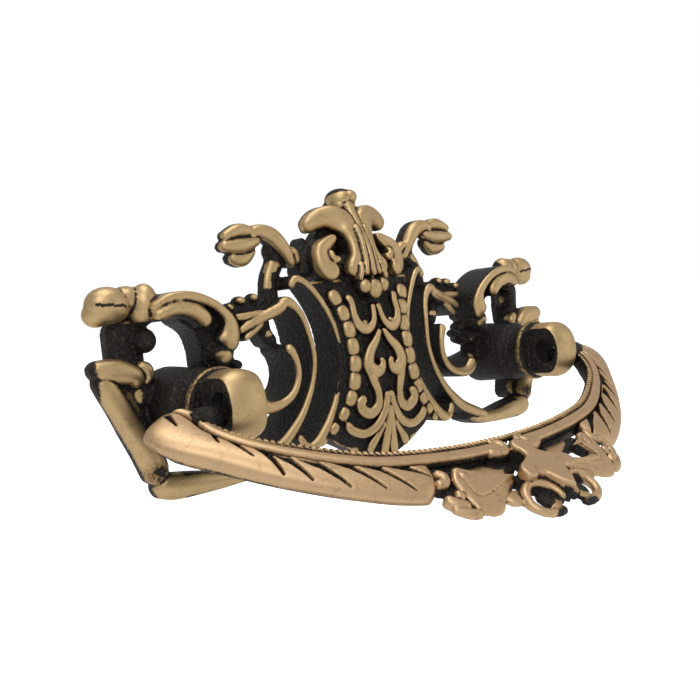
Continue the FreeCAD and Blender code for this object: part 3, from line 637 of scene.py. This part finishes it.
# A twisted rope: a star section turned steadily along the curve, thinner at both ends
def ropeTree():
    sockets = {"Count": "Int", "Strands": "Int", "Radius": "Float", "Valley": "Float", "Turns": "Float",
               "Ends": "Float",
               "Thin": "Float"}
    tree, given = beginTree("twistedRope", sockets)
    path = addNode(tree, "GeometryNodeResampleCurve", {"Curve": given["Geometry"], "Count": given["Count"]})
    along = addNode(tree, "GeometryNodeSplineParameter").outputs["Factor"]
    turn = reckon(tree, "MULTIPLY", reckon(tree, "MULTIPLY", along, given["Turns"]), 2 * math.pi)
    twist = addNode(tree, "GeometryNodeSetCurveTilt", {"Curve": path.outputs["Curve"], "Tilt": turn})
    near = reckon(tree, "MINIMUM", along, reckon(tree, "SUBTRACT", 1.0, along))
    thin = addNode(tree, "ShaderNodeMapRange", {"Value": near, "From Max": given["Ends"], "To Min": given["Thin"]})
    valley = reckon(tree, "MULTIPLY", given["Radius"], given["Valley"])
    star = addNode(tree, "GeometryNodeCurveStar",
                   {"Points": given["Strands"], "Outer Radius": given["Radius"], "Inner Radius": valley})
    strands = addNode(tree, "GeometryNodeSubdivideCurve", {"Curve": star.outputs["Curve"], "Cuts": 2})
    sweep = addNode(tree, "GeometryNodeCurveToMesh",
                    {"Curve": twist.outputs["Curve"], "Profile Curve": strands.outputs["Curve"],
                     "Scale": thin.outputs["Result"], "Fill Caps": True})
    return endTree(tree, sweep.outputs["Mesh"], given["Material"])


def alongCurve(name, points, tree, values):
    data = bpy.data.curves.new(name, "CURVE")
    data.dimensions = "3D"
    data.twist_mode = "MINIMUM"
    line = data.splines.new("POLY")
    line.points.add(len(points) - 1)
    for spot, p in zip(line.points, points):
        spot.co = (p[0] * mm, -p[1] * mm, p[2] * mm, 1)
    obj = addObject(name, data)
    modifier = obj.modifiers.new(name, "NODES")
    modifier.node_group = tree
    for item in tree.interface.items_tree:
        if item.item_type == "SOCKET" and item.in_out == "INPUT" and item.name in values:
            modifier[item.identifier] = values[item.name]
    depsgraph = bpy.context.evaluated_depsgraph_get()
    mesh = bpy.data.meshes.new_from_object(obj.evaluated_get(depsgraph))
    made = addObject(name + "Mesh", mesh)
    bpy.data.objects.remove(obj)
    return made


def beadPieces(material, tree):
    line = smoothPath([(x, z, 0.0, 0.0) for x, z in beadLine], 0.3)
    made = []
    for side in (-1, 1):
        points = [(side * x, panelFront(x, z), z) for x, z in line[:, :2]]
        size = tuple(2 * beadSet[k] * mm for k in ("across", "deep", "along"))
        values = {name.capitalize(): beadSet[name] for name in ("count", "crease", "taper", "grow")}
        values.update(Size=size, Material=material)
        made.append(alongCurve("beads" + ("Left" if side < 0 else "Right"), points, tree, values))
    return made


def merge(target, others):
    for other in others:
        other.select_set(True)
    target.select_set(True)
    bpy.context.view_layer.objects.active = target
    bpy.ops.object.join()
    bpy.ops.object.select_all(action="DESELECT")
    return target


# Posts: lathed, with two flats and a cross bore
postSet = {"voxel": 0.16, "softening": 3, "limit": 40000, "sides": 96, "radius": 5.45, "domeStart": 20.1,
           "domeRise": 3.4,
           "domeRows": 16, "domeEnd": 0.02, "flat": 3.1, "flatStart": 15.7, "bore": 2.4, "boreSides": 48,
           "cutBox": (12.0, 30.0, 9.0), "neck": [
               (5.9, 9.9), (5.3, 10.6), (4.9, 11.8), (4.8, 13.2), (5.1, 14.2), (5.8, 14.5), (5.95, 15.0),
               (5.8, 15.45),
               (5.1, 15.7), (5.05, 16.1), (5.3, 16.5), (5.45, 17.0), (5.45, 18.0), (5.45, 19.2)]}
postWear = {"head": (99.0, 1.0, -2.0, -1.5), "headStart": 15.9, "headFade": 0.8, "collar": 15.05, "collarHalf": 0.5,
            "rimRadius": 5.6, "rim": 0.55, "flatFacing": 0.9, "flatSlip": 0.15, "flat": 0.16, "boreSlip": 0.2,
            "bore": 0.0}


def postPart(side):
    turn = np.linspace(postSet["domeEnd"], math.pi / 2 - postSet["domeEnd"], postSet["domeRows"])
    dome = [(postSet["radius"] * math.cos(t), postSet["domeStart"] + postSet["domeRise"] * math.sin(t)) for t in turn]
    return lathe(side * postX, postSet["neck"] + dome, postSet["sides"])


def boxPart(low, high):
    (left, near, bottom), (right, far, top) = low, high
    corners = ((left, bottom), (right, bottom), (right, top), (left, top))
    return skin(np.array([[(x, depth, z) for x, z in corners] for depth in (near, far)], float))


def tubePart(start, stop, depth, z, radius):
    turn = np.linspace(0, 2 * math.pi, postSet["boreSides"], endpoint=False)
    circle = [(depth + radius * math.cos(t), z + radius * math.sin(t)) for t in turn]
    return skin(np.array([[(x, *place) for place in circle] for x in (start, stop)]))


def fixNormals(obj):
    bpy.context.view_layer.objects.active = obj
    obj.select_set(True)
    bpy.ops.object.mode_set(mode="EDIT")
    bpy.ops.mesh.select_all(action="SELECT")
    bpy.ops.mesh.normals_make_consistent(inside=False)
    bpy.ops.object.mode_set(mode="OBJECT")
    obj.select_set(False)


def cutAway(obj, parts):
    for part in parts:
        tool = joinParts("tool", [part])
        fixNormals(tool)
        cut = obj.modifiers.new("cut", "BOOLEAN")
        cut.operation = "DIFFERENCE"
        cut.solver = "EXACT"
        cut.object = tool
        applyModifiers(obj)
        bpy.data.objects.remove(tool)


# Head bright but for its flats and bore, collar rubbed on its rim, neck dark
def postZones(place, normal, tune, dark):
    px, depth = np.abs(place[:, 0]) - postX, place[:, 1]
    wearZone(tune, slice(None), postWear["head"])
    dark[:] = np.clip((depth - postWear["headStart"]) / postWear["headFade"], 0, 1)
    collar = np.abs(depth - postWear["collar"]) < postWear["collarHalf"]
    dark[collar & (np.hypot(px, place[:, 2]) > postWear["rimRadius"])] = postWear["rim"]
    facing = np.abs(normal[:, 0]) > postWear["flatFacing"]
    dark[facing & (np.abs(px) < postSet["flat"] + postWear["flatSlip"])] = postWear["flat"]
    bore = np.hypot(depth - pivotDepth, place[:, 2]) < postSet["bore"] + postWear["boreSlip"]
    dark[bore & (np.abs(px) < postSet["flat"])] = postWear["bore"]


def makePost(name, node, side, material):
    post = joinParts(name, [postPart(side)])
    fixNormals(post)
    x, flat, start = side * postX, postSet["flat"], postSet["flatStart"]
    wide, deep, high = postSet["cutBox"]
    cutAway(post, [boxPart((x + flat, start, -high), (x + wide, deep, high)),
                   boxPart((x - wide, start, -high), (x - flat, deep, high)),
                   tubePart(x - wide, x + wide, pivotDepth, 0.0, postSet["bore"])])
    castSkin(post, postSet)
    paintWear(post, frontView, wearSet, postZones)
    finishPiece(post, material, "mounting", node)


def finishPiece(obj, material, body, node):
    obj.data.materials.clear()
    obj.data.materials.append(material)
    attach(obj, body)
    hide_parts(node)


# Bail, drawn flat as (distance from the middle, height over its face, reach) and dropped to its tilt
bailSet = {"voxel": 0.17, "softening": 2, "limit": 110000, "stations": 460, "straight": 12.0, "thick": 3.35,
           "settle": 0.036,
           "tipFrom": 0.86, "tipThin": 0.6}
bandSet = {"ring": 44, "start": 20, "fade": 9, "core": -1.4}
bladeSet = {"start": 17.6, "edge": 1.15, "rise": 0.38, "roll": 2.6, "rollPower": 2.4, "ring": 74, "rearRing": 8,
            "tipFade": 12, "rootFade": 14, "core": -1.5, "floor": 0.25, "lipWide": 0.4, "lipDrop": 0.8,
            "rearWear": (0.62, 0.12, 1.5), "grooveFade": 1.3, "lipFade": 1.2}
grooveSet = {"wide": 0.62, "deep": 0.95, "taper": 0.7, "round": 0.6, "notched": 7, "notchBack": 0.9,
             "notchSlant": 0.42,
             "notchRun": 2.6, "notchWide": 0.75}
innerLine = [(0.0, 21.5), (10.5, 20.9), (20.6, 19.2), (27.6, 17.0), (34.6, 13.0), (40.8, 8.1), (44.2, 3.6),
             (45.0, 0.0), (45.7, -1.9), (47.0, -3.2)]
outerLine = [(0.0, 28.6), (12.4, 28.4), (23.6, 26.0), (32.0, 21.7), (40.0, 15.5), (46.6, 9.0), (51.0, 4.4),
             (53.0, 0.8), (52.4, -1.6), (49.6, -3.2)]
grooveLines = [((44.1, 4.8), (42.4, 10.2)), ((40.4, 10.7), (40.0, 14.5)), ((38.0, 13.6), (36.9, 17.0)),
               ((34.5, 16.1), (32.6, 20.2)),
               ((30.4, 17.8), (28.0, 22.5)), ((26.4, 19.8), (23.9, 24.5)), ((21.8, 21.3), (19.6, 23.6)),
               ((48.7, -2.3), (48.8, 0.4)),
               ((45.8, -2.3), (46.1, -0.9)), ((44.7, 1.1), (45.4, 6.0))]
bandProfile = [(-1.30, -3.30, 0.3), (-1.75, -2.60, 0.1), (-1.95, -1.70, 0.1), (-1.85, -1.00, 0.0),
               (-1.45, -0.75, 0.0), (-1.12, -0.60, 0.0),
               (-1.04, -0.10, 0.2), (-1.00, 0.35, 0.7), (-0.88, 0.62, 1.0), (-0.60, 0.72, 1.0), (0.00, 0.76, 1.0),
               (0.60, 0.72, 1.0),
               (0.88, 0.60, 1.0), (1.02, 0.30, 0.8), (1.10, -0.20, 0.1), (1.18, -0.60, 0.0), (1.18, -3.30, 0.3)]
ropeSet = {"Count": 1100, "Strands": 3, "Radius": 0.74 * mm, "Valley": 0.62, "Turns": 36.0, "Ends": 0.12,
           "Thin": 0.3}
ropeLine = {"across": -1.65, "height": 0.15, "stop": 24}
starEdge = [(0.0, 21.6), (1.3, 21.9), (1.95, 23.0), (1.6, 24.4), (1.9, 25.7), (3.4, 26.6), (5.0, 27.3), (5.9, 28.4),
            (5.8, 29.8), (4.6, 30.4),
            (3.3, 30.1), (2.4, 30.5), (2.0, 31.5), (1.2, 33.0), (0.0, 34.5)]


def bailPlace(points):
    t = math.radians(hangTilt)
    x, n, s = points[:, 0], points[:, 1], -points[:, 2]
    y = -pivotDepth - s * math.cos(t) - n * math.sin(t)
    z = -pivotDrop - s * math.sin(t) + n * math.cos(t)
    return np.stack([x, y, z], 1)


def bailView(co, no):
    t = math.radians(hangTilt)
    y, z = co[:, 1] + pivotDepth, co[:, 2] + pivotDrop
    s = -y * math.cos(t) - z * math.sin(t)
    n = -y * math.sin(t) + z * math.cos(t)
    nn = -no[:, 1] * math.sin(t) + no[:, 2] * math.cos(t)
    ns = -no[:, 1] * math.cos(t) - no[:, 2] * math.sin(t)
    return np.stack([co[:, 0], n, -s], 1), np.stack([no[:, 0], nn, -ns], 1)


tongueEdge = [(15.9, 23.3), (14.7, 23.5), (13.5, 24.9), (14.2, 26.6), (15.0, 27.7), (14.2, 28.4), (11.8, 28.1),
              (8.4, 27.1), (5.7, 26.9),
              (5.9, 28.1), (8.2, 29.0), (10.6, 30.6), (12.6, 32.1), (14.6, 32.4), (16.6, 31.0), (17.1, 29.0),
              (17.4, 27.2), (17.2, 25.0), (15.9, 23.3)]


# Along one arm: inner edge, direction across, width, how far it is from the pivot, and the thinning at its tip
def armStations():
    share = np.linspace(0, 1, bailSet["stations"])
    lines = []
    for line in (innerLine, outerLine):
        q = smoothPath([(x, s, 0.0, 0.0) for x, s in line], 0.2)[:, :2]
        run = runAlong(q)
        lines.append(np.stack([np.interp(share * run[-1], run, q[:, k]) for k in (0, 1)], 1))
    inner, outer = lines
    width = np.linalg.norm(outer - inner, axis=1)
    along = (outer - inner) / width[:, None]
    straight = np.clip(inner[:, 1] / bailSet["straight"], 0, 1)
    taper = 1 - bailSet["tipThin"] * np.clip((share - bailSet["tipFrom"]) / (1 - bailSet["tipFrom"]), 0, 1)
    return inner, along, width, straight, taper


def ring(inner, along, a, n):
    return np.stack([inner[0] + along[0] * a, n, -(inner[1] + along[1] * a)], 1)


def roundOff(share):
    return math.sqrt(1 - (1 - min(1, share)) ** 2)


def settled(reach):
    return bailSet["settle"] * np.maximum(0, reach)


# The smooth band beside the rope
def bandPart(stations):
    inner, along, _, straight, taper = stations
    profile = np.array(bandProfile)
    run = runAlong(profile[:, :2])
    a, n, wear = (np.interp(np.linspace(0, run[-1], bandSet["ring"]), run, profile[:, k]) for k in range(3))
    start, core = bandSet["start"], bandSet["core"]
    rings = []
    for i in range(start, len(inner)):
        squeeze = np.where(a < 0, 0.5 + 0.5 * straight[i], 1.0)
        ease = roundOff(min(len(inner) - i, i - start + 1) / bandSet["fade"])
        level = np.where(n > -1, n - settled(inner[i, 1]), n * taper[i])
        rings.append(ring(inner[i], along[i], a * squeeze * ease, core + (level - core) * ease))
    return skin(np.array(rings)), np.tile(wear, len(rings))


# Each long groove begins in a notch that slants towards the tip
def grooveStrokes():
    strokes = []
    for k, (a, b) in enumerate(grooveLines):
        a, b = np.array(a), np.array(b)
        if k < grooveSet["notched"]:
            a = a - grooveSet["notchBack"] * (b - a) / np.linalg.norm(b - a)
            step = np.array([a[1], -a[0] * grooveSet["notchSlant"]])
            strokes.append((a, a + step / np.linalg.norm(step) * grooveSet["notchRun"], grooveSet["notchWide"]))
        strokes.append((a, b, grooveSet["wide"]))
    return strokes


def grooveCut(places, strokes):
    deep = np.zeros(len(places))
    for a, b, wide in strokes:
        t = np.clip(((places - a) @ (b - a)) / ((b - a) @ (b - a)), 0, 1)
        gap = np.linalg.norm(places - a - t[:, None] * (b - a), axis=1)
        share = np.clip(1 - (gap / (wide * (1 - grooveSet["taper"] * t))) ** 2, 0, 1)
        deep = np.maximum(deep, share ** grooveSet["round"])
    return deep


# One half's blade: barbs parted by grooves, rolling over to the outer edge
def bladePart(stations):
    inner, along, width, _, taper = stations
    keep = np.flatnonzero(inner[:, 0] > bladeSet["start"])
    strokes = grooveStrokes()
    v, power = np.linspace(0, 1, bladeSet["ring"]), bladeSet["rollPower"]
    face = bladeSet["rise"] - bladeSet["roll"] * (1 - (1 - v ** power) ** (1 / power))
    low = np.linspace(1, 0, bladeSet["rearRing"])
    rearEdge = np.where(low > 0.9, 0.98, np.where(low > 0.8, 0.9, low))
    outerWear, innerWear, wearPower = bladeSet["rearWear"]
    rearWear = np.linspace(outerWear, innerWear, len(low)) ** wearPower
    edge, core, thick = bladeSet["edge"], bladeSet["core"], bailSet["thick"]
    rings, wears = [], []
    for i in keep:
        ease = roundOff(min((len(inner) - i) / bladeSet["tipFade"], (i - keep[0] + 1) / bladeSet["rootFade"]))
        a = edge + (width[i] - edge) * (0.5 + (v - 0.5) * ease)
        lip = np.clip(1 - (a - edge) / bladeSet["lipWide"], 0, 1)
        deep = grooveCut(inner[i] + along[i] * a[:, None], strokes)
        level = face - bladeSet["lipDrop"] * lip - grooveSet["deep"] * deep - settled(inner[i, 1] + along[i, 1] * a)
        level = np.maximum(core + (level - core) * ease, bladeSet["floor"] - thick)
        rear = taper[i] * ((thick + core) * (1 - ease) - thick) + 0.5 * (low > 0.9)
        under = a[0] + (a[-1] - a[0]) * rearEdge
        rings.append(np.vstack([ring(inner[i], along[i], a, level), ring(inner[i], along[i], under, rear)]))
        faceWear = np.clip(1 - bladeSet["grooveFade"] * deep - bladeSet["lipFade"] * lip, 0, 1)
        wears.append(np.concatenate([faceWear, rearWear]))
    return skin(np.array(rings)), np.concatenate(wears)


def ropePiece(stations, material, tree):
    inner, along, _, straight, _ = stations
    across = (ropeLine["across"] * (0.5 + 0.5 * straight))[:, None]
    place = inner + along * across
    half = np.stack([place[:, 0], ropeLine["height"] - settled(inner[:, 1]), -place[:, 1]], 1)[:-ropeLine["stop"]]
    whole = bailPlace(np.vstack([half[::-1] * np.array([-1, 1, 1]), half[1:]]))
    rope = alongCurve("rope", whole * np.array([1, -1, 1]), tree, dict(ropeSet, Material=material))
    shadeSmooth(rope)
    return rope


# A leaf with a softened edge inside a closed outline, its top falling away as the reach grows
def plateau(loop, front, back, bevel, slope=0.0):
    tangent = np.roll(loop, -1, 0) - np.roll(loop, 1, 0)
    tangent /= np.linalg.norm(tangent, axis=1)[:, None]
    inward = np.stack([-tangent[:, 1], tangent[:, 0]], 1)
    levels = [(back, 0.0), (front - bevel, 0.0), (front - 0.3 * bevel, 0.3 * bevel), (front, bevel)]
    rings = []
    for n, inset in levels:
        fall = slope * (loop[:, 1] - loop[:, 1].min()) * (n > back)
        rings.append(np.stack([loop[:, 0] + inward[:, 0] * inset, np.maximum(n - fall, back + 0.1 * inset),
                               -(loop[:, 1] + inward[:, 1] * inset)], 1))
    return skin(np.array(rings))


def closedLoop(points, mirrored):
    q = smoothPath([(x, s, 0.0, 0.0) for x, s in points], 0.25)[:, :2]
    return np.vstack([q, (q * np.array([-1, 1]))[::-1][1:-1]]) if mirrored else q[:0:-1]


def ornamentParts():
    floor = -3.25
    right = [
        rib([(6.4, -21.7, 1.6, 0.0), (4.2, -22.6, 2.0, 0.1), (2.7, -22.4, 1.9, 0.1), (2.1, -21.0, 1.6, 0.1),
             (2.9, -20.0, 1.6, 0.0), (4.2, -19.8, 1.2, 0.0)], -2.6, edge=0.6),
        plateau(closedLoop(tongueEdge, False), 0.0, floor, 0.55, 0.30),
        rib([(15.3, -24.4, 2.0, 0.1), (14.9, -26.2, 1.8, -0.5)], -2.0),
        rib([(1.5, -34.4, 1.3, -1.4), (2.0, -32.2, 1.4, -0.9), (3.3, -30.6, 1.5, -0.7), (5.3, -30.0, 1.6, -0.8),
             (7.1, -31.0, 1.6, -1.2),
             (7.7, -32.8, 1.6, -1.8), (6.9, -34.6, 1.6, -2.2), (4.6, -35.5, 1.5, -2.4), (2.2, -35.4, 1.5, -2.4)],
             floor),
        rib([(1.6, -33.0, 4.4, -2.2), (5.4, -32.8, 4.6, -2.2)], floor, crown=0.1),
        rib([(6.6, -30.8, 3.4, -2.1), (10.6, -30.4, 2.6, -2.2)], floor, crown=0.2),
        rib([(2.2, -24.2, 3.4, -1.9), (6.4, -24.0, 3.4, -2.0), (11.0, -23.6, 2.6, -2.0), (16.4, -23.0, 2.6, -1.8)],
            floor, crown=0.3),
        rib([(4.4, -26.8, 3.0, -1.8), (6.4, -28.2, 2.8, -2.0)], floor, crown=0.3),
        rib([(18.8, -22.4, 1.6, -0.4), (17.9, -23.8, 1.6, -0.4), (18.9, -25.0, 1.7, -0.6), (20.2, -24.4, 1.4, -0.6)],
            floor, edge=0.7),
        rib([(16.4, -28.0, 3.6, -2.2), (18.6, -24.8, 3.6, -2.0)], floor, crown=0.3),
        rib([(20.4, -26.8, 1.8, -1.4), (19.2, -28.4, 2.2, -1.6), (17.2, -29.6, 1.8, -1.9)], floor),
        rib([(18.4, -26.8, 1.4, -1.0), (17.4, -28.4, 1.8, -1.3)], floor),
        rib([(20.4, -28.6, 1.4, -2.2), (18.4, -30.2, 1.8, -2.3), (16.2, -31.2, 1.6, -2.4)], floor),
    ]
    middle = [
        plateau(closedLoop(starEdge, True), 0.8, floor, 0.4, 0.03),
        rib([(0.0, -20.6, 4.0, -1.5), (0.0, -23.0, 4.6, -1.6)], -3.0, crown=0.3),
    ]
    return bothSides(right) + middle


ornamentSet = {"rim": {"reach": 27.0, "across": 1.0, "worn": (1.5, 0.9, -0.75, -0.2)},
               "pit": {"spot": (4.7, 32.8), "radius": 1.7, "top": -1.9, "wear": 0.1}}
ornamentWear = dict(wearSet, slack=0.9, soft=0.7, faceLow=-0.35, faceHigh=0.2)
ropeWear = dict(wearSet, reach=3, blur=0, slack=0.1, soft=0.24, faceLow=-0.5, faceHigh=0.2)


def ornamentZones(place, normal, tune, dark):
    x, reach = np.abs(place[:, 0]), -place[:, 2]
    rim, pit = ornamentSet["rim"], ornamentSet["pit"]
    wearZone(tune, (reach > rim["reach"]) & (x > rim["across"]), rim["worn"])
    away = np.hypot(x - pit["spot"][0], reach - pit["spot"][1])
    dark[(away < pit["radius"]) & (place[:, 1] < pit["top"])] = pit["wear"]


# Pivot pin in the post's bore and the cheek beside the post
pinSet = {"radius": 1.25, "inside": 0.7, "end": 46.0, "cheekRadius": 1.8, "cheekGap": 0.5, "cheekEnd": 7.2,
          "wear": 0.12}


def pivotParts():
    cheekStart = postX + postSet["flat"] + pinSet["cheekGap"]
    return [tubePart(postX - pinSet["inside"], pinSet["end"], 0.0, 0.0, pinSet["radius"]),
            tubePart(cheekStart, postX + pinSet["cheekEnd"], 0.0, 0.0, pinSet["cheekRadius"])]


def makeArm(name, side, stations, material):
    (band, bandWear), (blade, bladeWear) = bandPart(stations), bladePart(stations)
    pins = pivotParts()
    parts = [band, blade] + pins
    if side < 0:
        parts = [mirrorPart(p) for p in parts]
    arm = joinParts(name, parts, bailPlace)
    pinWear = np.full(sum(len(points) for points, _ in pins), pinSet["wear"])
    storeWear(arm, np.concatenate([bandWear, bladeWear, pinWear]))
    fixNormals(arm)
    shadeSmooth(arm)
    finishPiece(arm, material, "handle", "bail")


def makeBail(material, tree):
    stations = armStations()
    makeArm("armRight", 1, stations, material)
    makeArm("armLeft", -1, stations, material)
    rope = ropePiece(stations, material, tree)
    paintWear(rope, bailView, ropeWear)
    finishPiece(rope, material, "handle", "bail")
    ornament = joinParts("bailOrnament", ornamentParts(), bailPlace)
    castSkin(ornament, bailSet)
    paintWear(ornament, bailView, ornamentWear, ornamentZones)
    finishPiece(ornament, material, "handle", "bail")


def makeSide(name, parts, material):
    side = joinParts(name, parts)
    castSkin(side, scrollSet)
    paintWear(side, frontView, wearSet, plateZones)
    finishPiece(side, material, "mounting", "backplate")


makeCamera(cameraSet)
makeFloor(stageSet)
makeWorld(stageSet)
for lampName, settings in lampSet.items():
    makeLamp(lampName, settings)
print("camera, floor and light ready")
plateBrass = brassMaterial("plateBrass", brassSet)
bailBrass = brassMaterial("bailBrass", dict(brassSet, bright=(0.64, 0.44, 0.25, 1)))
print("materials ready")
right = scrollParts()
makeSide("scrollsRight", right, plateBrass)
makeSide("scrollsLeft", [mirrorPart(p) for p in right], plateBrass)
print("side scrolls cast")
panel = joinParts("panelCrown", middleParts() + bothSides(filigreeParts() + crownParts()))
merge(panel, beadPieces(plateBrass, rowTree()))
castSkin(panel, panelSet)
paintWear(panel, frontView, wearSet, plateZones)
finishPiece(panel, plateBrass, "mounting", "backplate")
print("panel and crown cast")
makePost("postLeft", "post_left", -1, plateBrass)
makePost("postRight", "post_right", 1, plateBrass)
makeBail(bailBrass, ropeTree())
print("bail cast")
bpy.context.scene.view_settings.view_transform = "Standard"
